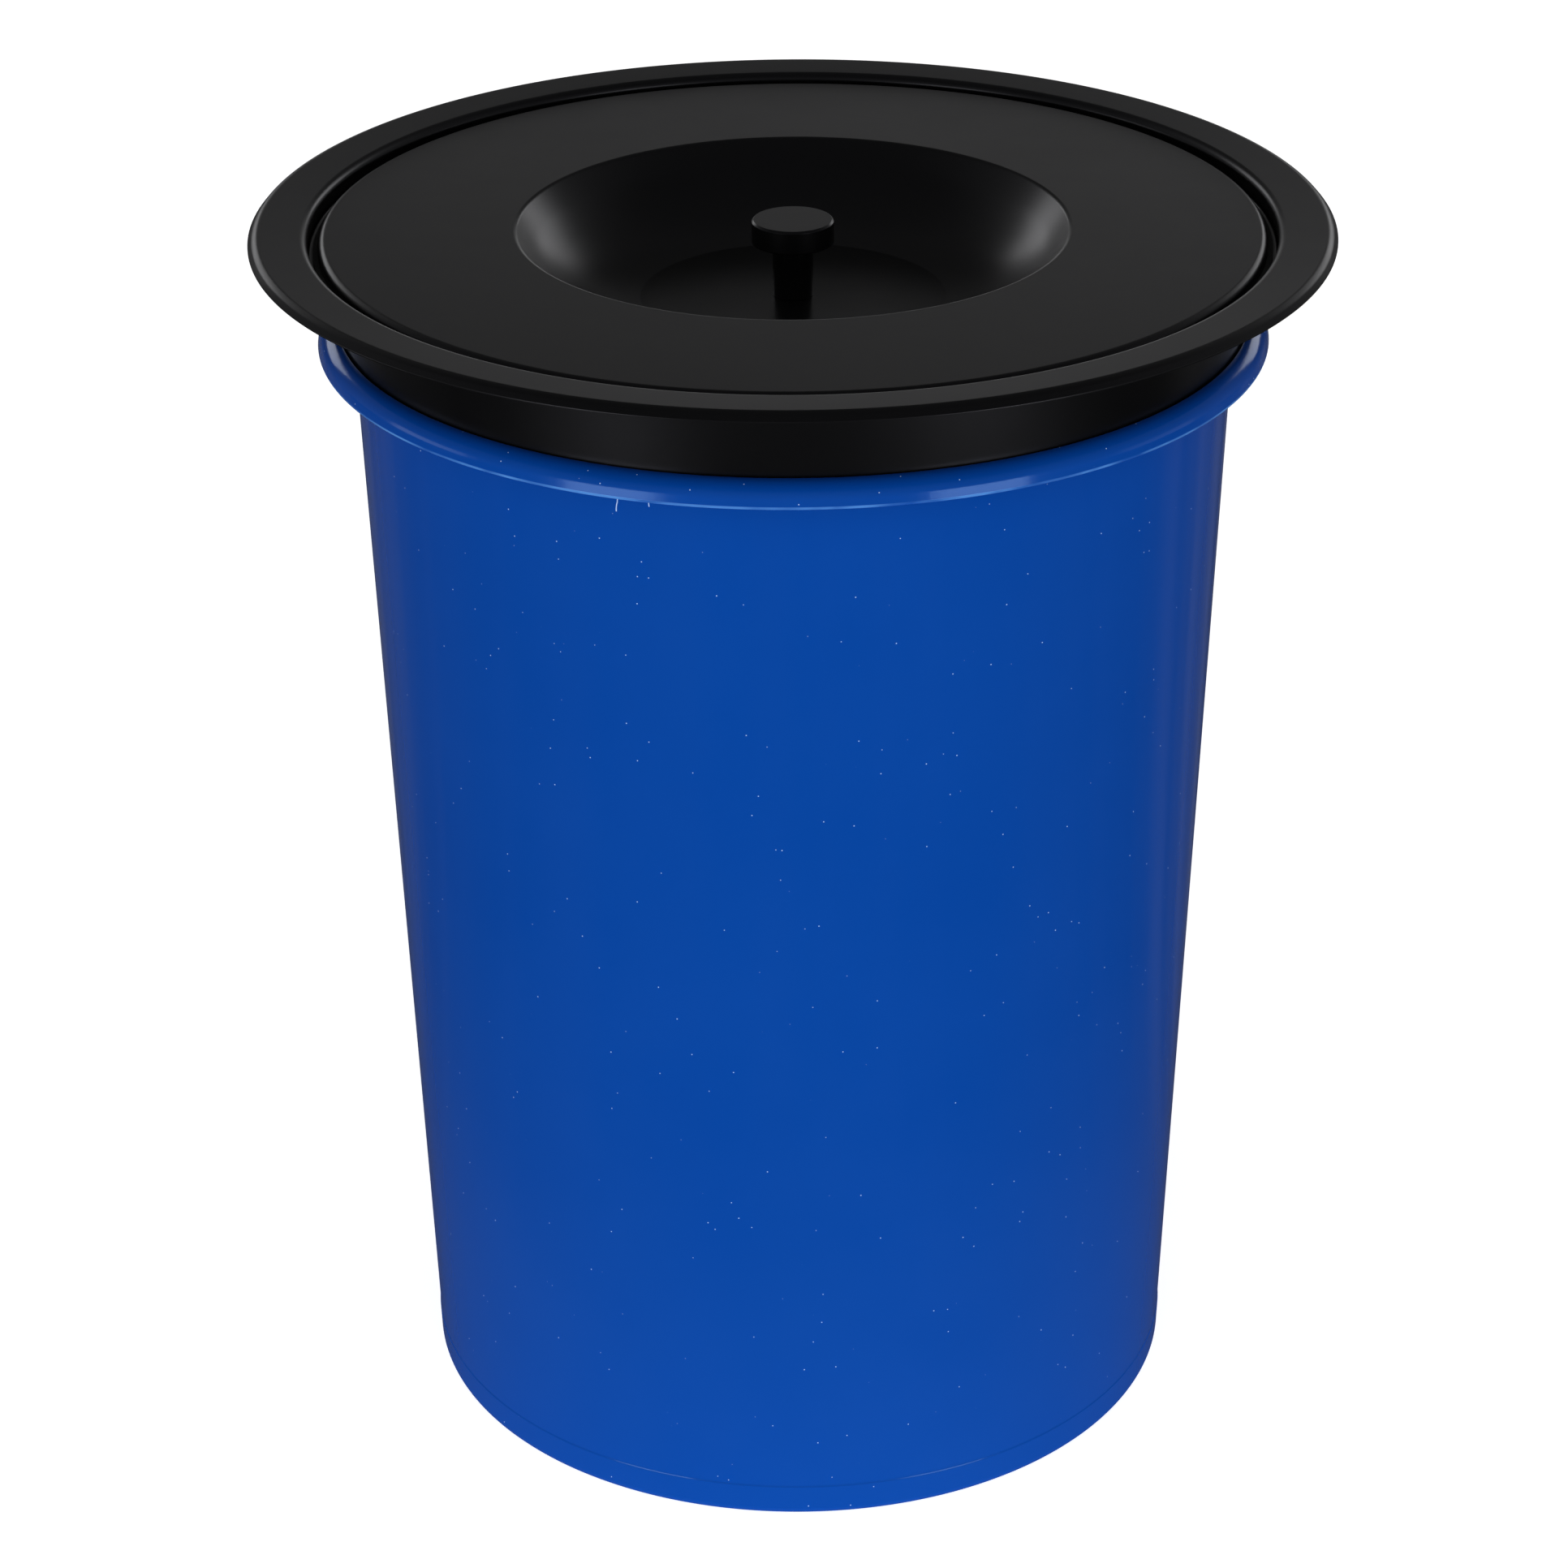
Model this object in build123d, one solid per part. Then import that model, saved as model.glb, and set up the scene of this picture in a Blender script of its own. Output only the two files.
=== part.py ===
from build123d import *
from math import radians, tan
import os

# Built-in countertop trash can. A plastic bucket carries a drawn steel mounting ring, whose flange
# lies on the worktop round a cut-out, and a lift-off lid lies in the ring with its knob sunk in a dish.
# Millimetres, +Z up, origin on the floor under the middle of the bucket.
# Every round piece is a section, drawn with radius across and height up, turned about the Z axis.

# Bucket, injection moulded
bucket_height = 294.4  # floor to the crown of the lip
bucket_wall = 2.0
bucket_draft = 2.17  # degrees from upright
bucket_floor_thickness = 2.4
base_corner_radius = 2.8
inner_corner_radius = 6.0
foot_recess_depth = 2.0  # the base stands on a rim round this recess
foot_rim_width = 6.0
foot_band_height = 9.0  # a faint step runs round the wall at this height
foot_band_step = 0.2
gate_mark_radius = 3.0  # the moulding's gate mark in the middle of the recess
gate_mark_height = 0.6
lip_round = 3.5  # outer rounding of the lip
crown_land = 1.9  # flat crown between the seat and that rounding
lip_skirt_drop = 1.6  # straight skirt under the rounding
lip_skirt_lean = 0.3
lip_skirt_wall = 1.8
seat_depth = 1.5  # the collar stands this far below the crown
seat_clearance = 0.3
seat_land = 4.1  # width of the seat inside the collar
mouth_chamfer = 0.8

# Mounting ring, one drawn sheet
ring_sheet = 1.0
ring_height = 25.1  # foot of the collar to the top of the flange
opening_radius = 119.3
opening_edge_radius = 1.8
flange_width = 14.7  # opening to the outside of the rim
rim_roll_width = 3.3
rim_height = 2.2
rim_land = 0.3  # upright edge under the roll
ledge_width = 6.7  # opening to the outside of the collar
ledge_depth = 6.0  # top of the flange to the top of the ledge
ledge_bend = 0.8  # the two hidden bends are drawn as flats at 45 degrees
collar_bend = 1.8

# Rubber rings
gasket_setback = 1.9  # bend under the flange to the rubber, which stays clear of the cut-out's edge
rubber_clearance = 0.2  # rubber to the other bends beside it
lid_seal_thickness = 0.8

# Lid, one pressed sheet
lid_sheet = 1.0
lid_gap = 2.3  # lid to the opening all round
lid_drop = 1.9  # top of the flange to the top of the lid
lid_edge_radius = 1.8
dish_radius = 68.4
dish_edge_radius = 1.5
dish_depth = 18.6
dish_wall_width = 30.4  # edge of the dish to its flat floor, seen from above
dish_knee_width_share = 0.39  # the wall bows down to a knee at these shares of its width and depth
dish_knee_depth_share = 0.80
dish_wall_radius = 36.0
dish_floor_bend_radius = 3.0

# Knob, turned, and the M4 screw and washer that hold it
knob_height = 19.7  # floor of the dish to the top of the knob
knob_head_radius = 10.2
knob_head_thickness = 6.0
knob_chamfer = 0.5  # top edge
knob_underside_chamfer = 0.4
knob_stem_radius = 5.0
knob_hole_spare = 1.5  # hole beyond the end of the screw
screw_radius = 2.0
screw_length = 8.0
screw_hole_clearance = 0.25
screw_thread_clearance = 0.05
screw_tip_chamfer = 0.4
screw_head_radius = 4.0
screw_head_height = 3.1
screw_head_chamfer = 1.1
screw_slot_width = 1.1
screw_slot_length = 4.4
screw_slot_depth = 1.6
washer_radius = 6.0
washer_thickness = 0.8
washer_hole_clearance = 0.15

# Radii that follow from those sizes
flange_radius = opening_radius + flange_width
flange_flat_radius = flange_radius - rim_roll_width
collar_radius = opening_radius - ledge_width
collar_inner_radius = collar_radius - ring_sheet
seat_radius = collar_radius + seat_clearance
lip_radius = seat_radius + crown_land + lip_round
mouth_radius = collar_inner_radius - seat_land
lid_radius = opening_radius - lid_gap
dish_floor_radius = dish_radius - dish_wall_width

# Heights that follow from those sizes
seat_z = bucket_height - seat_depth
seat_underside_z = seat_z - bucket_wall
lip_bottom_z = bucket_height - lip_round - lip_skirt_drop
bucket_floor_z = foot_recess_depth + bucket_floor_thickness
flange_z = seat_z + ring_height
flange_underside_z = flange_z - ring_sheet
rim_bottom_z = flange_z - rim_height
ledge_z = flange_z - ledge_depth
lid_seat_z = ledge_z + lid_seal_thickness
lid_z = flange_z - lid_drop
dish_floor_z = lid_z - dish_depth
dish_underside_z = dish_floor_z - lid_sheet
knob_z = dish_floor_z + knob_height


def turned(section):
    """Turn a closed section about the Z axis."""
    return revolve(Plane.XZ * section, Axis.Z)


def sheet_section(skin, thickness, side):
    """The section of a sheet that lies on one side of its skin line."""
    outline = offset(skin, amount=thickness, kind=Kind.INTERSECTION, side=side, closed=True)
    return make_face(outline.edges())


def flat_ring(inner_radius, outer_radius, bottom_z, thickness):
    """A flat ring, such as a washer or a cut gasket."""
    ring = Cylinder(outer_radius, thickness, align=(Align.CENTER, Align.CENTER, Align.MIN))
    ring -= Cylinder(inner_radius, thickness, align=(Align.CENTER, Align.CENTER, Align.MIN))
    return Pos(0, 0, bottom_z) * ring


def bucket_wall_radius(z):
    """Outside radius of the tapered wall at a height."""
    drawn_in = (seat_underside_z - z) * tan(radians(bucket_draft))
    return mouth_radius + bucket_wall - drawn_in


def make_bucket():
    """Tapered bucket with a foot rim, a skirted lip and a seat for the collar inside the crown."""
    recess_radius = bucket_wall_radius(0) - foot_rim_width
    band_top_z = foot_band_height + foot_band_step
    corners = [
        ((0, foot_recess_depth - gate_mark_height), None),
        ((gate_mark_radius, foot_recess_depth - gate_mark_height), 0),
        ((gate_mark_radius, foot_recess_depth), 0),
        ((recess_radius, foot_recess_depth), 0),
        ((recess_radius, 0), 0),
        ((bucket_wall_radius(0) + foot_band_step, 0), base_corner_radius),
        ((bucket_wall_radius(foot_band_height) + foot_band_step, foot_band_height), 0),
        ((bucket_wall_radius(band_top_z), band_top_z), 0),
        ((bucket_wall_radius(seat_underside_z), seat_underside_z), 0),
        ((lip_radius - lip_skirt_wall, seat_underside_z), 0),
        ((lip_radius - lip_skirt_wall, lip_bottom_z), 0),
        ((lip_radius - lip_skirt_lean, lip_bottom_z), 0),
        ((lip_radius, bucket_height), lip_round),
        ((seat_radius, bucket_height), 0),
        ((seat_radius, seat_z), 0),
        ((mouth_radius + mouth_chamfer, seat_z), 0),
        ((mouth_radius, seat_z - mouth_chamfer), 0),
        ((bucket_wall_radius(bucket_floor_z) - bucket_wall, bucket_floor_z), inner_corner_radius),
        ((0, bucket_floor_z), None),
    ]
    points = [point for point, radius in corners]
    radii = [radius for point, radius in corners if radius is not None]
    outline = FilletPolyline(*points, radius=radii)
    axis_line = Line(outline @ 1, outline @ 0)
    return turned(make_face(outline.edges() + axis_line.edges()))


def rim_section():
    """The rolled outer edge of the flange, cut off flat where it meets the worktop."""
    drop = rim_height - rim_land
    roll_start = (flange_flat_radius, flange_z)
    roll_end = (flange_radius, flange_z - drop)
    inner_start = (flange_flat_radius, flange_underside_z)
    inner_end = (flange_radius - ring_sheet, rim_bottom_z)
    edges = [
        TangentArc(roll_start, roll_end, tangent=(1, 0)),
        Line(roll_end, (flange_radius, rim_bottom_z)),
        Line((flange_radius, rim_bottom_z), inner_end),
        Line(inner_end, inner_start),
        Line(inner_start, roll_start),
    ]
    return make_face(edges)


def make_mounting_ring():
    """Flange, step down to the lid's ledge, and collar, drawn from one sheet."""
    skin = FilletPolyline(
        (flange_flat_radius, flange_z),
        (opening_radius, flange_z),
        (opening_radius, ledge_z + ledge_bend),
        (opening_radius - ledge_bend, ledge_z),
        (collar_inner_radius + collar_bend, ledge_z),
        (collar_inner_radius, ledge_z - collar_bend),
        (collar_inner_radius, seat_z),
        radius=[opening_edge_radius, 0, 0, 0, 0],
    )
    return turned(sheet_section(skin, ring_sheet, Side.LEFT) + rim_section())


def make_worktop_gasket():
    """Flat rubber ring that fills the rolled rim's depth under the flange."""
    inner_radius = opening_radius + opening_edge_radius + gasket_setback
    outer_radius = flange_flat_radius - rubber_clearance
    return flat_ring(inner_radius, outer_radius, rim_bottom_z, rim_height - ring_sheet)


def make_lid_seal():
    """Flat rubber ring on the flat of the ledge, under the lid's edge."""
    inner_radius = collar_inner_radius + collar_bend + rubber_clearance
    outer_radius = opening_radius - ledge_bend - rubber_clearance
    return flat_ring(inner_radius, outer_radius, ledge_z, lid_seal_thickness)


def make_lid():
    """Pressed lid with a turned-down edge, and a dish whose flat floor has the knob's screw hole."""
    knee_radius = dish_radius - dish_wall_width * dish_knee_width_share
    knee_z = lid_z - dish_depth * dish_knee_depth_share
    skin = FilletPolyline(
        (lid_radius, lid_seat_z),
        (lid_radius, lid_z),
        (dish_radius, lid_z),
        (knee_radius, knee_z),
        (dish_floor_radius, dish_floor_z),
        (screw_radius + screw_hole_clearance, dish_floor_z),
        radius=[lid_edge_radius, dish_edge_radius, dish_wall_radius, dish_floor_bend_radius],
    )
    return turned(sheet_section(skin, lid_sheet, Side.LEFT))


def make_knob():
    """Disc head on a thin stem, with a blind hole for the screw."""
    hole_radius = screw_radius + screw_thread_clearance
    hole_end_z = dish_underside_z - washer_thickness + screw_length + knob_hole_spare
    head_underside_z = knob_z - knob_head_thickness
    outline = Polyline(
        (hole_radius, dish_floor_z),
        (knob_stem_radius, dish_floor_z),
        (knob_stem_radius, head_underside_z),
        (knob_head_radius - knob_underside_chamfer, head_underside_z),
        (knob_head_radius, head_underside_z + knob_underside_chamfer),
        (knob_head_radius, knob_z - knob_chamfer),
        (knob_head_radius - knob_chamfer, knob_z),
        (0, knob_z),
        (0, hole_end_z + hole_radius),
        (hole_radius, hole_end_z),
        close=True,
    )
    return turned(make_face(outline.edges()))


def make_knob_screw():
    """Pan head screw, pushed up through the washer and the dish's floor into the knob."""
    head_top_z = dish_underside_z - washer_thickness
    head_bottom_z = head_top_z - screw_head_height
    tip_z = head_top_z + screw_length
    outline = Polyline(
        (0, head_bottom_z),
        (screw_head_radius - screw_head_chamfer, head_bottom_z),
        (screw_head_radius, head_bottom_z + screw_head_chamfer),
        (screw_head_radius, head_top_z),
        (screw_radius, head_top_z),
        (screw_radius, tip_z - screw_tip_chamfer),
        (screw_radius - screw_tip_chamfer, tip_z),
        (0, tip_z),
        close=True,
    )
    screw = turned(make_face(outline.edges()))
    slot = Box(screw_slot_length, screw_slot_width, screw_slot_depth,
               align=(Align.CENTER, Align.CENTER, Align.MIN))
    for turn in (0, 90):
        screw -= Pos(0, 0, head_bottom_z) * Rot(0, 0, turn) * slot
    return screw


def make_knob_washer():
    """Plain washer between the screw's head and the underside of the dish."""
    hole_radius = screw_radius + washer_hole_clearance
    bottom_z = dish_underside_z - washer_thickness
    return flat_ring(hole_radius, washer_radius, bottom_z, washer_thickness)


pieces = {
    "bucket": make_bucket(),
    "mounting_ring": make_mounting_ring(),
    "worktop_gasket": make_worktop_gasket(),
    "lid_seal": make_lid_seal(),
    "lid": make_lid(),
    "knob": make_knob(),
    "knob_screw": make_knob_screw(),
    "knob_washer": make_knob_washer(),
}

os.makedirs("parts", exist_ok=True)
for name, solid in pieces.items():
    export_step(solid, f"parts/{name}.step")
    size = solid.bounding_box().size
    print(f"{name}: {size.X:.1f} x {size.Y:.1f} x {size.Z:.1f} mm, {solid.volume:.0f} mm3")
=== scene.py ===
import bpy
import bmesh
from math import atan2, ceil, cos, hypot, pi, radians, sin, tan
from mathutils import Euler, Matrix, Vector


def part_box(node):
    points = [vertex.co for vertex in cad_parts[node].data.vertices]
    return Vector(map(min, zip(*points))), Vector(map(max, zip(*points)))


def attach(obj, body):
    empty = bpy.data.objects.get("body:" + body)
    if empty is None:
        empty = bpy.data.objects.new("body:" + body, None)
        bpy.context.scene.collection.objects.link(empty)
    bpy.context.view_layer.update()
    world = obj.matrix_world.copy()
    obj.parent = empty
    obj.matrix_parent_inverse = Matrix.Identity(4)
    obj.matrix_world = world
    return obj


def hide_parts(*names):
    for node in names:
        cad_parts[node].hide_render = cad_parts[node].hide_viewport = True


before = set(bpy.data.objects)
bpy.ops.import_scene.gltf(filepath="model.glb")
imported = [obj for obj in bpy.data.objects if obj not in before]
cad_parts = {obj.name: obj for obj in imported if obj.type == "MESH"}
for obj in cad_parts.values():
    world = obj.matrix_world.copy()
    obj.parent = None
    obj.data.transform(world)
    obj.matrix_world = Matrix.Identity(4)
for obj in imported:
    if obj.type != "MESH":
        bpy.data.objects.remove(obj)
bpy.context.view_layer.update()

mm = 0.001
turning = {
    "steps": 256,  # round the Z axis
    "arcStep": radians(7.5),  # along a rounded corner
    "fewestSegments": 2,
    "bevelProfile": 0.5,  # an arc of a circle
    "mergeDistance": 0.001 * mm,
    "sharpAngle": radians(32),
}
print("frame loaded")


# modelling

def selectVertex(piece, place):
    # picks the outline's vertex that lies at a place, in edit mode
    mesh = bmesh.from_edit_mesh(piece.data)
    for vertex in mesh.verts:
        gap = hypot(vertex.co.x - place[0], vertex.co.z - place[1])
        vertex.select = gap < turning["mergeDistance"]
    mesh.select_flush_mode()
    bmesh.update_edit_mesh(piece.data)


def turnAngle(before, corner, after):
    # how far an outline turns at a corner
    start = atan2(corner[1] - before[1], corner[0] - before[0])
    end = atan2(after[1] - corner[1], after[0] - corner[0])
    return abs((end - start + pi) % (2 * pi) - pi)


def spinOutline(name, corners):
    # draws an outline of (radius, height, rounding) as a chain of vertices, rounds it and spins it
    bpy.ops.object.select_all(action="DESELECT")
    bpy.ops.mesh.primitive_plane_add(size=mm, location=(corners[0][0], 0, corners[0][1]))
    piece = bpy.context.object
    piece.name = piece.data.name = name
    bpy.ops.object.transform_apply(location=True, rotation=False, scale=False)
    bpy.ops.object.mode_set(mode="EDIT")
    bpy.ops.mesh.select_mode(type="VERT")
    bpy.ops.mesh.merge(type="CENTER")
    for start, end in zip(corners, corners[1:]):
        step = (end[0] - start[0], 0, end[1] - start[1])
        bpy.ops.mesh.extrude_vertices_move(TRANSFORM_OT_translate={"value": step})
    for before, corner, after in zip(corners, corners[1:], corners[2:]):
        rounding = corner[2]
        if rounding > 0:
            angle = turnAngle(before, corner, after)
            segments = max(turning["fewestSegments"], ceil(angle / turning["arcStep"]))
            selectVertex(piece, corner)
            bpy.ops.mesh.bevel(affect="VERTICES", offset=rounding * tan(angle / 2),
                               profile=turning["bevelProfile"], segments=segments)
    bpy.ops.mesh.select_all(action="SELECT")
    bpy.ops.mesh.spin(steps=turning["steps"], angle=2 * pi, center=(0, 0, 0), axis=(0, 0, 1))
    bpy.ops.mesh.select_all(action="SELECT")
    bpy.ops.mesh.remove_doubles(threshold=turning["mergeDistance"])
    bpy.ops.mesh.normals_make_consistent(inside=False)
    bpy.ops.object.mode_set(mode="OBJECT")
    return piece


def giveSheetThickness(piece, thickness):
    # the spun skin is the sheet's upper side, and the metal goes underneath it
    flattest = max(piece.data.polygons, key=lambda face: face.area * abs(face.normal.z))
    if flattest.normal.z < 0:
        bpy.ops.object.mode_set(mode="EDIT")
        bpy.ops.mesh.select_all(action="SELECT")
        bpy.ops.mesh.flip_normals()
        bpy.ops.object.mode_set(mode="OBJECT")
    sheet = piece.modifiers.new("sheet", "SOLIDIFY")
    sheet.thickness = thickness
    sheet.offset = -1
    sheet.use_even_offset = True
    bpy.ops.object.modifier_apply(modifier=sheet.name)


def finishPiece(piece, material, node, body):
    # shades arcs smooth and flats flat, and puts the piece in its node's place
    bpy.ops.object.shade_smooth_by_angle(angle=turning["sharpAngle"])
    weighting = piece.modifiers.new("flat faces", "WEIGHTED_NORMAL")
    weighting.keep_sharp = True
    bpy.ops.object.modifier_apply(modifier=weighting.name)
    piece.data.materials.append(material)
    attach(piece, body)
    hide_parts(node)
    print(piece.name, len(piece.data.polygons), "faces")


# materials
noiseReach = (0.3, 0.7)  # nearly all of a noise pattern's values lie between these


def linearColor(code):
    # an sRGB hex colour as linear RGBA
    channels = [int(code[i:i + 2], 16) / 255 for i in (1, 3, 5)]
    return (*[c / 12.92 if c <= 0.04045 else ((c + 0.055) / 1.055) ** 2.4 for c in channels], 1)


def addNode(tree, kind, settings, links=None):
    # settings go to sockets or properties, and links feed sockets. Sockets that share a name have
    # numbers: in a Mix node 0 is the factor, 2 and 3 are its values, and 6 and 7 its colours
    node = tree.nodes.new(kind)
    for name, value in settings.items():
        if isinstance(name, int) or name in node.inputs:
            node.inputs[name].default_value = value
        else:
            setattr(node, name, value)
    for name, source in (links or {}).items():
        tree.links.new(source, node.inputs[name])
    return node


def mapping(reach, levels=(0, 1)):
    # a Map Range node's settings: the values it reads between, and what they become
    return {"From Min": reach[0], "From Max": reach[1], "To Min": levels[0], "To Max": levels[1]}


def newMaterial(name):
    # an empty material, its node tree, and the surface's own coordinates
    material = bpy.data.materials.new(name)
    material.use_nodes = True
    tree = material.node_tree
    tree.nodes.clear()
    return material, tree, addNode(tree, "ShaderNodeTexCoord", {}).outputs["Object"]


def finishSurface(tree, look, colour, unevenness, relief, settings):
    # the shader that every solid finish ends in, smoother and rougher with a pattern
    half = look["roughnessSpread"] / 2
    levels = (look["roughness"] - half, look["roughness"] + half)
    roughness = addNode(tree, "ShaderNodeMapRange", mapping(noiseReach, levels),
                        {"Value": unevenness})
    bump = addNode(tree, "ShaderNodeBump", {"Strength": 1, "Distance": look["grainHeight"]},
                   {"Height": relief})
    shader = addNode(tree, "ShaderNodeBsdfPrincipled", settings, {
        "Base Color": colour,
        "Roughness": roughness.outputs["Result"],
        "Normal": bump.outputs["Normal"],
    })
    addNode(tree, "ShaderNodeOutputMaterial", {}, {"Surface": shader.outputs["BSDF"]})


def dustSpecks(tree, place, dust):
    # sparse specks of dust, where cells' points happen to lie in the surface
    cells = addNode(tree, "ShaderNodeTexVoronoi", {"Scale": 1 / dust["spacing"]}, {"Vector": place})
    radius = dust["radius"] / dust["spacing"]
    specks = addNode(tree, "ShaderNodeMapRange", mapping((radius, radius * dust["core"])),
                     {"Value": cells.outputs["Distance"]})
    return specks.outputs["Result"]


# moulded polypropylene: an even blue with a soft bluish shine, faintly rippled down the wall, with a
# painted highlight line along the lip's lower edge, specks of dust and two hair scratches under the
# lip
bluePlastic = {
    "colour": "#04419A",
    "cloudColour": "#04449F",
    "shineColour": "#A2CEFF",  # tints what the surface reflects
    # the colour of the painted highlight along the lip's lower edge
    "edgeHighlightColour": "#4A84D0",
    "markColour": "#B4D2FA",
    "ior": 1.49,
    "roughness": 0.14,
    "roughnessSpread": 0.04,
    "cloudSize": 38 * mm,
    "grainSize": 0.9 * mm,  # the mould's texture, finer on the real bucket
    "grainHeight": 0.004 * mm,
    "rippleSize": 15 * mm,
    "rippleStretch": 0.03,  # the ripples run down the wall
    "rippleHeight": 0.12 * mm,
    "dust": {"spacing": 4.0 * mm, "radius": 0.18 * mm, "core": 0.5},
    "edgeHeight": 288.8 * mm,
    "edgeReach": 0.45 * mm,  # above and below that height
    "edgeRadius": 117.3 * mm,  # the line lies outside this radius
    "edgePatchSize": 14 * mm,  # it is stronger and weaker in patches
    "edgePatchReach": (0.35, 0.6),
    "edgePatchLevels": (0.1, 1),
    "hairWidth": 0.16 * mm,
    "hairCore": 0.4,
    "hairBend": 0.8 * mm,
    "hairBendLength": 3.2 * mm,
}
hairEnds = [  # on the front wall, across and up
    ((-39.8 * mm, 0, 288.0 * mm), (-40.6 * mm, 0, 282.0 * mm)),
    ((-33.2 * mm, 0, 288.0 * mm), (-33.0 * mm, 0, 284.2 * mm)),
]


def mouldedRelief(tree, place, look):
    # fine grain on long soft ripples, where 1 is the grain's height
    grain = addNode(tree, "ShaderNodeTexNoise", {"Scale": 1 / look["grainSize"], "Detail": 2},
                    {"Vector": place})
    drawn = addNode(tree, "ShaderNodeVectorMath",
                    {"operation": "MULTIPLY", 1: (1, 1, look["rippleStretch"])}, {0: place})
    ripple = addNode(tree, "ShaderNodeTexNoise", {"Scale": 1 / look["rippleSize"], "Detail": 3},
                     {"Vector": drawn.outputs["Vector"]})
    rise = addNode(tree, "ShaderNodeMath",
                   {"operation": "MULTIPLY", 1: look["rippleHeight"] / look["grainHeight"]},
                   {0: ripple.outputs["Fac"]})
    relief = addNode(tree, "ShaderNodeMath", {"operation": "ADD"},
                     {0: grain.outputs["Fac"], 1: rise.outputs["Value"]})
    return relief.outputs["Value"]


def paintedEdgeHighlight(tree, place, axes, look):
    # a painted highlight: a paler line at one height round the lip's outside, in patches, where the
    # lip's lower edge catches light
    line = addNode(tree, "ShaderNodeMath",
                   {"operation": "COMPARE", 1: look["edgeHeight"], 2: look["edgeReach"]},
                   {0: axes.outputs["Z"]})
    level = addNode(tree, "ShaderNodeVectorMath", {"operation": "MULTIPLY", 1: (1, 1, 0)}, {0: place})
    radius = addNode(tree, "ShaderNodeVectorMath", {"operation": "LENGTH"},
                     {0: level.outputs["Vector"]})
    outside = addNode(tree, "ShaderNodeMath", {"operation": "GREATER_THAN", 1: look["edgeRadius"]},
                      {0: radius.outputs["Value"]})
    edgeHighlightPatchNoise = addNode(tree, "ShaderNodeTexNoise", {"Scale": 1 / look["edgePatchSize"]},
                   {"Vector": place})
    patches = addNode(tree, "ShaderNodeMapRange",
                      mapping(look["edgePatchReach"], look["edgePatchLevels"]),
                      {"Value": edgeHighlightPatchNoise.outputs["Fac"]})
    for share in (outside.outputs["Value"], patches.outputs["Result"]):
        line = addNode(tree, "ShaderNodeMath", {"operation": "MULTIPLY"},
                       {0: line.outputs["Value"], 1: share})
    return line.outputs["Value"]


def hairLine(tree, place, ends, look):
    # a fine line from one point to another
    start, run = Vector(ends[0]), Vector(ends[1]) - Vector(ends[0])
    away = addNode(tree, "ShaderNodeVectorMath", {"operation": "SUBTRACT", 1: start}, {0: place})
    along = addNode(tree, "ShaderNodeVectorMath",
                    {"operation": "DOT_PRODUCT", 1: run / run.length_squared},
                    {0: away.outputs["Vector"]})
    share = addNode(tree, "ShaderNodeMapRange", {}, {"Value": along.outputs["Value"]})
    nearest = addNode(tree, "ShaderNodeVectorMath", {"operation": "SCALE", 0: run},
                      {"Scale": share.outputs["Result"]})
    gap = addNode(tree, "ShaderNodeVectorMath", {"operation": "DISTANCE"},
                  {0: away.outputs["Vector"], 1: nearest.outputs["Vector"]})
    line = addNode(tree, "ShaderNodeMapRange",
                   mapping((look["hairWidth"], look["hairWidth"] * look["hairCore"])),
                   {"Value": gap.outputs["Value"]})
    return line.outputs["Result"]


def dustAndHairs(tree, place, axes, look):
    # the hair scratches are bent a little, and cut only the front of the wall
    wander = addNode(tree, "ShaderNodeTexNoise", {"Scale": 1 / look["hairBendLength"]},
                     {"Vector": place})
    bent = addNode(tree, "ShaderNodeVectorMath",
                   {"operation": "MULTIPLY_ADD", 1: [look["hairBend"]] * 3},
                   {0: wander.outputs["Color"], 2: place})
    upright = addNode(tree, "ShaderNodeVectorMath", {"operation": "MULTIPLY", 1: (1, 0, 1)},
                      {0: bent.outputs["Vector"]})
    inFront = addNode(tree, "ShaderNodeMath", {"operation": "LESS_THAN", 1: 0},
                      {0: axes.outputs["Y"]})
    marks = dustSpecks(tree, place, look["dust"])
    for ends in hairEnds:
        line = hairLine(tree, upright.outputs["Vector"], ends, look)
        seen = addNode(tree, "ShaderNodeMath", {"operation": "MULTIPLY"},
                       {0: line, 1: inFront.outputs["Value"]})
        marks = addNode(tree, "ShaderNodeMath", {"operation": "MAXIMUM"},
                        {0: marks, 1: seen.outputs["Value"]}).outputs["Value"]
    return marks


def makeBluePlastic():
    look = bluePlastic
    material, tree, place = newMaterial("mouldedPolypropyleneBlue")
    axes = addNode(tree, "ShaderNodeSeparateXYZ", {}, {"Vector": place})
    clouds = addNode(tree, "ShaderNodeTexNoise", {"Scale": 1 / look["cloudSize"], "Detail": 3},
                     {"Vector": place})
    body = addNode(tree, "ShaderNodeMix", {"data_type": "RGBA", 6: linearColor(look["colour"]),
                   7: linearColor(look["cloudColour"])}, {0: clouds.outputs["Fac"]})
    # the lip's lower edge gets a painted highlight line
    edged = addNode(tree, "ShaderNodeMix", {"data_type": "RGBA", 7: linearColor(look["edgeHighlightColour"])},
                    {0: paintedEdgeHighlight(tree, place, axes, look), 6: body.outputs[2]})
    marked = addNode(tree, "ShaderNodeMix", {"data_type": "RGBA", 7: linearColor(look["markColour"])},
                     {0: dustAndHairs(tree, place, axes, look), 6: edged.outputs[2]})
    finishSurface(tree, look, marked.outputs[2], clouds.outputs["Fac"],
                  mouldedRelief(tree, place, look),
                  {"IOR": look["ior"], "Specular Tint": linearColor(look["shineColour"])})
    return material


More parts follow.
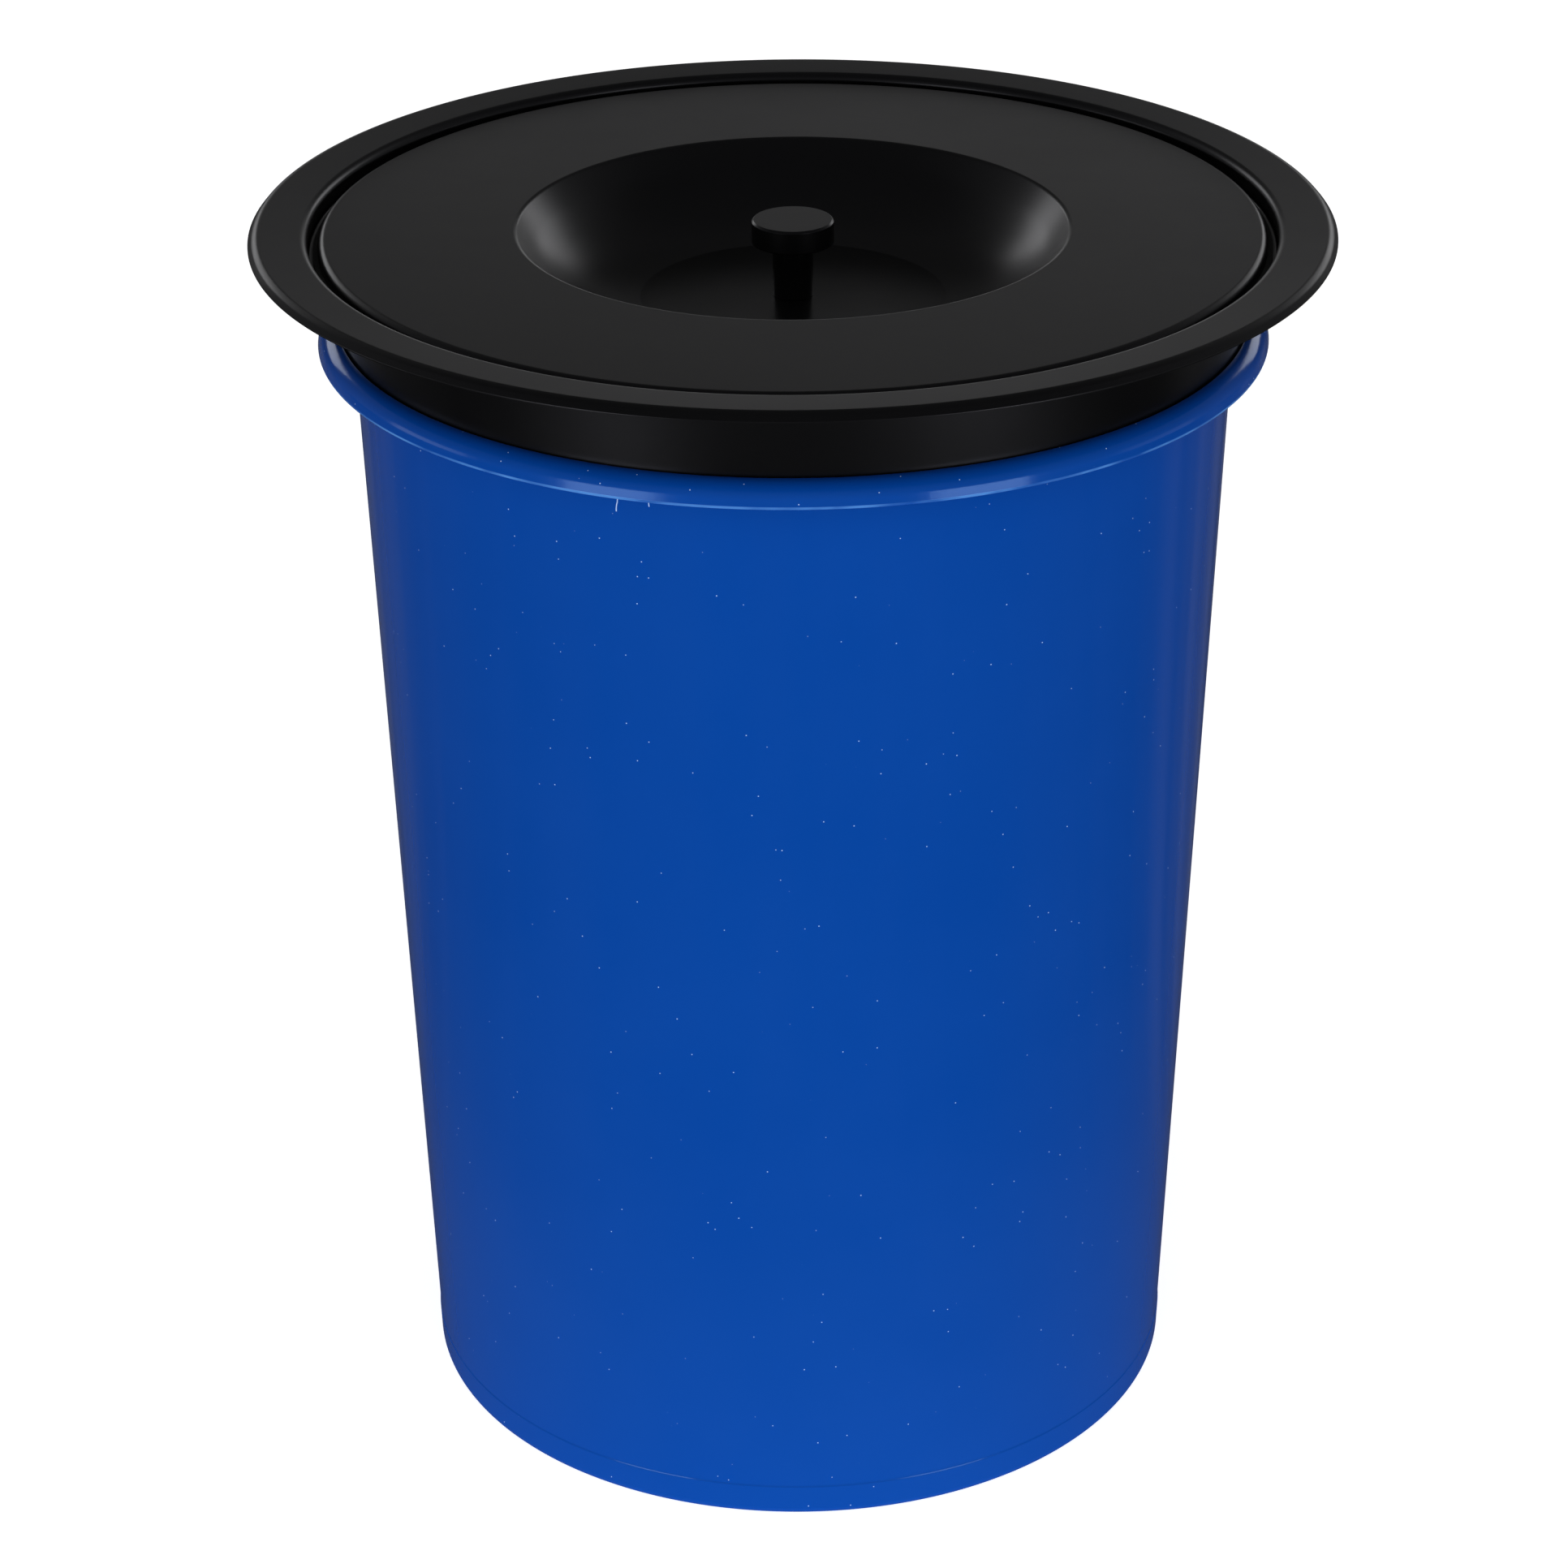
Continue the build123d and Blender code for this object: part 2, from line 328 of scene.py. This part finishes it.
# satin black coat on stainless steel: nearly no colour of its own, so that all it shows is a soft
# shine, strongest at low angles, with a few specks of dust
blackCoat = {
    "colour": "#040404",
    "shineColour": "#F4F4FF",
    "markColour": "#2C2C2E",
    "ior": 1.5,
    "roughness": 0.30,
    "roughnessSpread": 0.05,
    "cloudSize": 30 * mm,
    "grainSize": 0.7 * mm,  # the coat's orange peel
    "grainHeight": 0.003 * mm,
    "dust": {"spacing": 5.5 * mm, "radius": 0.14 * mm, "core": 0.5},
}


def makeBlackCoat():
    look = blackCoat
    material, tree, place = newMaterial("satinBlackCoatOnStainlessSteel")
    clouds = addNode(tree, "ShaderNodeTexNoise", {"Scale": 1 / look["cloudSize"], "Detail": 4},
                     {"Vector": place})
    grain = addNode(tree, "ShaderNodeTexNoise", {"Scale": 1 / look["grainSize"], "Detail": 3},
                    {"Vector": place})
    marked = addNode(tree, "ShaderNodeMix", {"data_type": "RGBA", 6: linearColor(look["colour"]),
                     7: linearColor(look["markColour"])}, {0: dustSpecks(tree, place, look["dust"])})
    finishSurface(tree, look, marked.outputs[2], clouds.outputs["Fac"], grain.outputs["Fac"],
                  {"IOR": look["ior"], "Specular Tint": linearColor(look["shineColour"])})
    return material


# cut sheet rubber: dull dark grey with a dry grain, drawn coarser than the real one
blackRubber = {
    "colour": "#0C0C0C",
    "paleColour": "#121212",
    "ior": 1.52,
    "roughness": 0.75,
    "roughnessSpread": 0.1,
    "grainSize": 0.5 * mm,
    "grainHeight": 0.02 * mm,
}

# zinc-plated steel of the screw and washer: a bright grey metal, mottled by the plating's crystals,
# which are drawn coarser than the real ones
platedSteel = {
    "colour": "#B9BBBD",
    "paleColour": "#D2D3D4",
    "roughness": 0.34,
    "roughnessSpread": 0.12,
    "grainSize": 0.25 * mm,
    "grainHeight": 0.004 * mm,
}


def makeGrainyFinish(name, look, settings):
    # a plain finish whose colour, roughness and height follow one grain
    material, tree, place = newMaterial(name)
    grain = addNode(tree, "ShaderNodeTexNoise", {"Scale": 1 / look["grainSize"], "Detail": 3},
                    {"Vector": place})
    colour = addNode(tree, "ShaderNodeMix", {"data_type": "RGBA", 6: linearColor(look["colour"]),
                     7: linearColor(look["paleColour"])}, {0: grain.outputs["Fac"]})
    finishSurface(tree, look, colour.outputs[2], grain.outputs["Fac"], grain.outputs["Fac"], settings)
    return material


bluePlasticMaterial = makeBluePlastic()
blackCoatMaterial = makeBlackCoat()
blackRubberMaterial = makeGrainyFinish("cutSheetRubberBlack", blackRubber, {"IOR": blackRubber["ior"]})
platedSteelMaterial = makeGrainyFinish("zincPlatedSteel", platedSteel, {"Metallic": 1})
print("materials made")


# bucket
bucket = {
    "lipRadius": 118.3 * mm,
    "mouthRadius": 107.5 * mm,
    "wall": 2.0 * mm,
    "draft": radians(2.17),
    "floorThickness": 2.4 * mm,
    "innerRounding": 6.0 * mm,
    "baseRounding": 2.8 * mm,
    "creaseHeight": 9.0 * mm,  # a faint step runs round the wall here
    "creaseStep": 0.2 * mm,
    "creaseRun": 0.35 * mm,
    "creaseRounding": 0.5 * mm,
    "footRimWidth": 6.0 * mm,
    "recessDepth": 2.0 * mm,
    "recessRounding": 1.0 * mm,
    "gateRadius": 3.0 * mm,  # the mould's gate mark, in the recess
    "gateHeight": 0.6 * mm,
    "gateRounding": 0.2 * mm,
    "lipRounding": 4.5 * mm,
    "crownLand": 0.9 * mm,
    "skirtDrop": 1.5 * mm,
    "lipLean": 1.0 * mm,  # the lip's outside leans in this far up to the crown
    "skirtWall": 1.8 * mm,
    "edgeRounding": 0.4 * mm,
    "lipEdgeRounding": 0.7 * mm,
    "rootRounding": 1.5 * mm,
    "seatDepth": 1.5 * mm,
    "seatRounding": 0.2 * mm,
    "mouthRounding": 0.8 * mm,
}


def makeBucket():
    shape = bucket
    low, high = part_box("bucket")
    seatTop = high.z - shape["seatDepth"]
    seatUnderside = seatTop - shape["wall"]
    seatRadius = shape["lipRadius"] - shape["lipRounding"] - shape["crownLand"]
    skirtRadius = shape["lipRadius"] - shape["skirtWall"]
    lipBottom = high.z - shape["lipRounding"] - shape["skirtDrop"]
    recessTop = low.z + shape["recessDepth"]
    gateBottom = recessTop - shape["gateHeight"]
    floorTop = recessTop + shape["floorThickness"]
    creaseBottom = shape["creaseHeight"]
    creaseTop = creaseBottom + shape["creaseRun"]

    def wallRadius(height):
        return shape["mouthRadius"] + shape["wall"] - (seatUnderside - height) * tan(shape["draft"])

    footRadius = wallRadius(low.z) + shape["creaseStep"]
    recessRadius = wallRadius(low.z) - shape["footRimWidth"]
    creaseRadius = wallRadius(creaseBottom) + shape["creaseStep"]
    piece = spinOutline("bucketMoulding", [
        (0, gateBottom, 0),
        (shape["gateRadius"], gateBottom, shape["gateRounding"]),
        (shape["gateRadius"], recessTop, shape["gateRounding"]),
        (recessRadius, recessTop, shape["recessRounding"]),
        (recessRadius, low.z, shape["edgeRounding"]),
        (footRadius, low.z, shape["baseRounding"]),
        (creaseRadius, creaseBottom, shape["creaseRounding"]),
        (wallRadius(creaseTop), creaseTop, shape["creaseRounding"]),
        (wallRadius(seatUnderside), seatUnderside, shape["rootRounding"]),
        (skirtRadius, seatUnderside, shape["edgeRounding"]),
        (skirtRadius, lipBottom, shape["edgeRounding"]),
        (shape["lipRadius"], lipBottom, shape["lipEdgeRounding"]),
        (shape["lipRadius"] - shape["lipLean"], high.z, shape["lipRounding"]),
        (seatRadius, high.z, shape["edgeRounding"]),
        (seatRadius, seatTop, shape["seatRounding"]),
        (shape["mouthRadius"], seatTop, shape["mouthRounding"]),
        (wallRadius(floorTop) - shape["wall"], floorTop, shape["innerRounding"]),
        (0, floorTop, 0),
    ])
    finishPiece(piece, bluePlasticMaterial, "bucket", "bucket")


# mounting ring
mountingRing = {
    "sheet": 1.0 * mm,
    "openingRadius": 119.5 * mm,
    "openingRounding": 2.0 * mm,
    "flangeDip": 0.55 * mm,  # the flange slopes down this far from its rim to the opening
    "rimHeight": 2.2 * mm,
    "rimLand": 0.3 * mm,
    "rimLean": 1.6 * mm,  # the roll's slope leans in this far from the edge to the flat
    "rimRounding": 2.4 * mm,
    "rimEdgeRounding": 0.25 * mm,
    "ledgeDepth": 6.0 * mm,
    "ledgeRounding": 0.8 * mm,
    "collarRadius": 111.6 * mm,
    "collarRounding": 1.8 * mm,
}


def makeMountingRing():
    shape = mountingRing
    low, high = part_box("mounting_ring")
    rimBottom = high.z - shape["rimHeight"]
    ledge = high.z - shape["ledgeDepth"]
    piece = spinOutline("ringPressing", [
        (high.x, rimBottom, 0),
        (high.x, rimBottom + shape["rimLand"], shape["rimEdgeRounding"]),
        (high.x - shape["rimLean"], high.z, shape["rimRounding"]),
        (shape["openingRadius"], high.z - shape["flangeDip"], shape["openingRounding"]),
        (shape["openingRadius"], ledge, shape["ledgeRounding"]),
        (shape["collarRadius"], ledge, shape["collarRounding"]),
        (shape["collarRadius"], low.z, 0),
    ])
    giveSheetThickness(piece, shape["sheet"])
    finishPiece(piece, blackCoatMaterial, "mounting_ring", "ring")


# lid
lid = {
    "sheet": 1.0 * mm,
    "edgeRounding": 2.0 * mm,
    "dishRadius": 68.4 * mm,
    "dishRounding": 1.5 * mm,
    "dishDepth": 18.6 * mm,
    "dishFloorRadius": 38.0 * mm,
    "dishFloorRounding": 3.0 * mm,
    "dishWallRounding": 36.0 * mm,
    "kneeWidthShare": 0.39,  # the wall bows down to a knee at these shares of its width and depth
    "kneeDepthShare": 0.80,
    "screwHoleRadius": 2.25 * mm,
}


def makeLid():
    shape = lid
    low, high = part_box("lid")
    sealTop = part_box("lid_seal")[1].z
    dishFloor = high.z - shape["dishDepth"]
    wallWidth = shape["dishRadius"] - shape["dishFloorRadius"]
    kneeRadius = shape["dishRadius"] - wallWidth * shape["kneeWidthShare"]
    kneeHeight = high.z - shape["dishDepth"] * shape["kneeDepthShare"]
    piece = spinOutline("lidPressing", [
        (high.x, sealTop, 0),
        (high.x, high.z, shape["edgeRounding"]),
        (shape["dishRadius"], high.z, shape["dishRounding"]),
        (kneeRadius, kneeHeight, shape["dishWallRounding"]),
        (shape["dishFloorRadius"], dishFloor, shape["dishFloorRounding"]),
        (shape["screwHoleRadius"], dishFloor, 0),
    ])
    giveSheetThickness(piece, shape["sheet"])
    finishPiece(piece, blackCoatMaterial, "lid", "lid")


# knob
knob = {
    "stemRadius": 5.0 * mm,
    "headThickness": 6.0 * mm,
    "topChamfer": 0.5 * mm,
    "edgeRounding": 0.4 * mm,
    "chamferRounding": 0.12 * mm,
    "holeRadius": 2.05 * mm,
    "holeSpare": 1.5 * mm,  # the hole goes on this far past the screw's end, and ends in a cone
}


def makeKnob():
    shape = knob
    low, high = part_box("knob")
    headUnderside = high.z - shape["headThickness"]
    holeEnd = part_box("knob_screw")[1].z + shape["holeSpare"]
    piece = spinOutline("knobTurning", [
        (0, holeEnd + shape["holeRadius"], 0),
        (shape["holeRadius"], holeEnd, 0),
        (shape["holeRadius"], low.z, shape["chamferRounding"]),
        (shape["stemRadius"], low.z, shape["chamferRounding"]),
        (shape["stemRadius"], headUnderside, shape["edgeRounding"]),
        (high.x, headUnderside, shape["edgeRounding"]),
        (high.x, high.z - shape["topChamfer"], shape["chamferRounding"]),
        (high.x - shape["topChamfer"], high.z, shape["chamferRounding"]),
        (0, high.z, 0),
    ])
    finishPiece(piece, blackCoatMaterial, "knob", "lid")


makeBucket()
makeMountingRing()
makeLid()
makeKnob()

# the rubber rings and the fastener keep their CAD shape
finishes = {
    "worktop_gasket": blackRubberMaterial,
    "lid_seal": blackRubberMaterial,
    "knob_screw": platedSteelMaterial,
    "knob_washer": platedSteelMaterial,
}
for nodeName, finish in finishes.items():
    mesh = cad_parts[nodeName].data
    mesh.materials.clear()
    mesh.materials.append(finish)
print("pieces made")


# floor: pale, and white to the camera like the photograph's ground, with the object's soft shadow.
# The gloss sees it dim in front, with paler and darker streaks that run out from the object
floor = {
    "size": 8.0,
    "sink": 0.02 * mm,  # keeps it just clear of the foot
    "colour": "#E6E6E6",
    "nearRadii": (0.15, 0.30),  # round the foot
    "nearGloss": 0.19,
    "frontGloss": 0.045,
    "backGloss": 0.17,
    "backStart": (0.10, 0.45),  # how far a place lies towards +Y where the back begins and is full
    "streaks": 12,  # how many times it turns paler and darker round the object, roughly
    "streakReach": (0.4, 0.6),
    "streakLevels": (0.35, 1.9),
    "farRadii": (0.75, 1.10),  # paler where it runs out to the front lamps
    "farGloss": 0.33,
    "farFrontStart": (-0.2, -0.6),
    "cameraGlow": 0.80,
    "tableGlow": 0.56,  # lights the object from below, as a light table does
    "nearTableGlow": 1.15,  # round the foot
}


def floorGloss(tree, place, near):
    # the floor's level as the gloss sees it
    away = addNode(tree, "ShaderNodeVectorMath", {"operation": "LENGTH"}, {0: place})
    far = addNode(tree, "ShaderNodeMapRange", mapping(floor["farRadii"]),
                  {"Value": away.outputs["Value"]})
    direction = addNode(tree, "ShaderNodeVectorMath", {"operation": "NORMALIZE"}, {0: place})
    axes = addNode(tree, "ShaderNodeSeparateXYZ", {}, {"Vector": direction.outputs["Vector"]})
    back = addNode(tree, "ShaderNodeMapRange", mapping(floor["backStart"]),
                   {"Value": axes.outputs["Y"]})
    front = addNode(tree, "ShaderNodeMapRange", mapping(floor["farFrontStart"]),
                    {"Value": axes.outputs["Y"]})
    bands = addNode(tree, "ShaderNodeTexNoise", {"Scale": floor["streaks"] / 2, "Detail": 4},
                    {"Vector": direction.outputs["Vector"]})
    streaks = addNode(tree, "ShaderNodeMapRange",
                      mapping(floor["streakReach"], floor["streakLevels"]),
                      {"Value": bands.outputs["Fac"]})
    around = addNode(tree, "ShaderNodeMix", {2: floor["frontGloss"], 3: floor["backGloss"]},
                     {0: back.outputs["Result"]})
    streaky = addNode(tree, "ShaderNodeMath", {"operation": "MULTIPLY"},
                      {0: around.outputs[0], 1: streaks.outputs["Result"]})
    dim = addNode(tree, "ShaderNodeMix", {2: floor["nearGloss"]},
                  {0: near, 3: streaky.outputs["Value"]})
    farFront = addNode(tree, "ShaderNodeMath", {"operation": "MULTIPLY"},
                       {0: far.outputs["Result"], 1: front.outputs["Result"]})
    gloss = addNode(tree, "ShaderNodeMix", {3: floor["farGloss"]},
                    {0: farFront.outputs["Value"], 2: dim.outputs[0]})
    return gloss.outputs[0]


def makeFloor():
    bpy.ops.object.select_all(action="DESELECT")
    bpy.ops.mesh.primitive_plane_add(size=floor["size"], location=(0, 0, -floor["sink"]))
    plane = bpy.context.object
    plane.name = "studioFloor"
    material, tree, place = newMaterial("paleStudioFloor")
    material.cycles.emission_sampling = "NONE"  # so that only the rays named below see the glow
    rays = addNode(tree, "ShaderNodeLightPath", {})
    away = addNode(tree, "ShaderNodeVectorMath", {"operation": "LENGTH"}, {0: place})
    near = addNode(tree, "ShaderNodeMapRange", mapping(floor["nearRadii"]),
                   {"Value": away.outputs["Value"]}).outputs["Result"]
    colour = addNode(tree, "ShaderNodeMix", {"data_type": "RGBA", 6: linearColor(floor["colour"])},
                     {0: rays.outputs["Is Glossy Ray"], 7: floorGloss(tree, place, near)})
    matt = addNode(tree, "ShaderNodeBsdfDiffuse", {}, {"Color": colour.outputs[2]})
    lit = addNode(tree, "ShaderNodeMix", {2: floor["nearTableGlow"], 3: floor["tableGlow"]},
                  {0: near})
    table = addNode(tree, "ShaderNodeMath", {"operation": "MULTIPLY"},
                    {0: rays.outputs["Is Diffuse Ray"], 1: lit.outputs[0]})
    level = addNode(tree, "ShaderNodeMath", {"operation": "MULTIPLY_ADD", 1: floor["cameraGlow"]},
                    {0: rays.outputs["Is Camera Ray"], 2: table.outputs["Value"]})
    glow = addNode(tree, "ShaderNodeEmission", {}, {"Strength": level.outputs["Value"]})
    both = addNode(tree, "ShaderNodeAddShader", {},
                   {0: matt.outputs["BSDF"], 1: glow.outputs["Emission"]})
    addNode(tree, "ShaderNodeOutputMaterial", {}, {"Surface": both.outputs["Shader"]})
    plane.data.materials.append(material)


# world: white to the camera, a soft light on matt surfaces that is stronger from the front, and for
# the gloss a dim studio with a pale backdrop low behind the object. Where it changes, a pair of values
# says how far a direction points towards +Y, up or to the right where the change begins and is full
world = {
    "softLight": 0.08,
    "frontLight": 1.17,
    "frontStart": (0, -1),
    "haze": 0.04,
    "ceiling": 0.072,
    "ceilingStart": (0.50, 0.95),
    "sideHaze": 0.13,
    "sideStart": (0.80, 0.50),
    "sideTop": (0.78, 0.58),
    "backdropLow": 0.20,  # near the ground
    "backdropHigh": 0.186,
    "backdropRise": (0.06, 0.20),
    "backdropMiddle": 0.85,  # straight behind the object it is bright near the ground
    "middleSide": (0.965, 0.985),
    "backdropSide": (0.90, 0.955),
    "backdropFoot": (-0.01, 0.02),
    "backdropTop": (0.54, 0.24),
    "backdropTilt": (0.80, 1.20),  # it grows brighter from left to right
    "tiltReach": (-0.15, 0.15),
}


def softStep(reach, levels=(0, 1)):
    # a Map Range node's settings for a change that begins and ends softly
    return {"interpolation_type": "SMOOTHSTEP", **mapping(reach, levels)}


def backdropShare(tree, axes):
    # 1 on the backdrop, and 0 beside, below and above it
    share = addNode(tree, "ShaderNodeMapRange", softStep(world["backdropSide"]),
                    {"Value": axes.outputs["Y"]}).outputs["Result"]
    for edge in ("backdropFoot", "backdropTop"):
        inside = addNode(tree, "ShaderNodeMapRange", softStep(world[edge]),
                         {"Value": axes.outputs["Z"]})
        share = addNode(tree, "ShaderNodeMath", {"operation": "MULTIPLY"},
                        {0: share, 1: inside.outputs["Result"]}).outputs["Value"]
    return share


def backdropLevel(tree, axes):
    ground = addNode(tree, "ShaderNodeMapRange",
                     softStep(world["middleSide"], (world["backdropLow"], world["backdropMiddle"])),
                     {"Value": axes.outputs["Y"]})
    even = addNode(tree, "ShaderNodeMapRange",
                   softStep(world["backdropRise"], (world["backdropLow"], world["backdropHigh"])),
                   {"Value": axes.outputs["Z"], "To Min": ground.outputs["Result"]})
    tilt = addNode(tree, "ShaderNodeMapRange", mapping(world["tiltReach"], world["backdropTilt"]),
                   {"Value": axes.outputs["X"]})
    level = addNode(tree, "ShaderNodeMath", {"operation": "MULTIPLY"},
                    {0: even.outputs["Result"], 1: tilt.outputs["Result"]})
    return level.outputs["Value"]


def roomLevel(tree, axes):
    # a dim haze, paler at the ceiling and at the sides
    above = addNode(tree, "ShaderNodeMapRange",
                    mapping(world["ceilingStart"], (world["haze"], world["ceiling"])),
                    {"Value": axes.outputs["Z"]})
    side = addNode(tree, "ShaderNodeMapRange", mapping(world["sideStart"]),
                   {"Value": axes.outputs["Y"]})
    low = addNode(tree, "ShaderNodeMapRange", mapping(world["sideTop"]),
                  {"Value": axes.outputs["Z"]})
    beside = addNode(tree, "ShaderNodeMath", {"operation": "MULTIPLY"},
                     {0: side.outputs["Result"], 1: low.outputs["Result"]})
    level = addNode(tree, "ShaderNodeMix", {3: world["sideHaze"]},
                    {0: beside.outputs["Value"], 2: above.outputs["Result"]})
    return level.outputs[0]


def makeWorld():
    studio = bpy.data.worlds.new("paleStudio")
    bpy.context.scene.world = studio
    studio.use_nodes = True
    studio.cycles.sampling_method = "NONE"  # so that shine and matt colour each read their own level
    tree = studio.node_tree
    tree.nodes.clear()
    rays = addNode(tree, "ShaderNodeLightPath", {})
    direction = addNode(tree, "ShaderNodeTexCoord", {}).outputs["Generated"]
    axes = addNode(tree, "ShaderNodeSeparateXYZ", {}, {"Vector": direction})
    onMatt = addNode(tree, "ShaderNodeMapRange",
                     mapping(world["frontStart"], (world["softLight"], world["frontLight"])),
                     {"Value": axes.outputs["Y"]})
    inGloss = addNode(tree, "ShaderNodeMix", {}, {0: backdropShare(tree, axes),
                      2: roomLevel(tree, axes), 3: backdropLevel(tree, axes)})
    onObject = addNode(tree, "ShaderNodeMix", {}, {0: rays.outputs["Is Glossy Ray"],
                       2: onMatt.outputs["Result"], 3: inGloss.outputs[0]})
    white = addNode(tree, "ShaderNodeMath", {"operation": "MAXIMUM"},
                    {0: rays.outputs["Is Camera Ray"], 1: rays.outputs["Is Transmission Ray"]})
    level = addNode(tree, "ShaderNodeMix", {3: 1.0},
                    {0: white.outputs["Value"], 2: onObject.outputs[0]})
    background = addNode(tree, "ShaderNodeBackground", {"Color": (1, 1, 1, 1)},
                         {"Strength": level.outputs[0]})
    addNode(tree, "ShaderNodeOutputWorld", {}, {"Surface": background.outputs["Background"]})


# softboxes: azimuth is from the front, and level is the brightness where white is 1. The back pair
# stands high, and so lights the dish's sides and leaves the rim's slope dark
softboxes = {
    "frontLeftSoftbox": {"azimuth": -41, "level": 3.8, "distance": 1.3, "height": 0.30,
                         "size": (0.5, 0.4)},
    "frontRightSoftbox": {"azimuth": 41, "level": 3.8, "distance": 1.3, "height": 0.30,
                          "size": (0.5, 0.4)},
    "leftStrip": {"azimuth": -90, "level": 1.0, "distance": 1.4, "height": 0.34,
                  "size": (0.6, 0.32)},
    "rightStrip": {"azimuth": 90, "level": 0.3, "distance": 1.4, "height": 0.34,
                   "size": (0.6, 0.32)},
    "backLeftSoftbox": {"azimuth": -149, "level": 1.5, "distance": 2.0, "height": 0.82,
                        "size": (0.8, 0.5)},
    "backRightSoftbox": {"azimuth": 149, "level": 1.5, "distance": 2.0, "height": 0.82,
                         "size": (0.8, 0.5)},
}


def makeSoftboxes():
    aim = Vector((0, 0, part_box("bucket")[1].z))
    for name, box in softboxes.items():
        azimuth = radians(box["azimuth"])
        across, towards = sin(azimuth) * box["distance"], -cos(azimuth) * box["distance"]
        place = Vector((across, towards, box["height"]))
        turn = (place - aim).to_track_quat("Z", "Y").to_euler()
        width, height = box["size"]
        bpy.ops.object.select_all(action="DESELECT")
        bpy.ops.object.light_add(type="AREA", location=place, rotation=turn)
        lamp = bpy.context.object
        lamp.name = lamp.data.name = name
        lamp.data.shape = "RECTANGLE"
        lamp.data.size, lamp.data.size_y = width, height
        lamp.data.energy = box["level"] * pi * width * height  # the power that gives that level
        lamp.visible_camera = False


# camera, fitted to the photograph's ellipses and outline
photoCamera = {
    "lens": 102.83,
    "sensor": 36,
    "lookAt": (0, 0, 0.1698),
    "distance": 1.17,
    "elevation": radians(25.75),
    "roll": radians(-0.345),
    "shift": (-0.0076, -0.0175),
    "clip": (0.05, 50),
}


def makeCamera():
    shot = photoCamera
    back = Vector((0, -cos(shot["elevation"]), sin(shot["elevation"])))
    turn = back.to_track_quat("Z", "Y") @ Euler((0, 0, shot["roll"])).to_quaternion()
    bpy.ops.object.select_all(action="DESELECT")
    bpy.ops.object.camera_add(location=Vector(shot["lookAt"]) + back * shot["distance"],
                              rotation=turn.to_euler())
    camera = bpy.context.object
    camera.name = "photoCamera"
    camera.data.lens = shot["lens"]
    camera.data.sensor_width = shot["sensor"]
    camera.data.shift_x, camera.data.shift_y = shot["shift"]
    camera.data.clip_start, camera.data.clip_end = shot["clip"]
    bpy.context.scene.camera = camera


makeFloor()
makeWorld()
makeSoftboxes()
makeCamera()
bpy.context.scene.view_settings.view_transform = "Standard"
print("studio set")
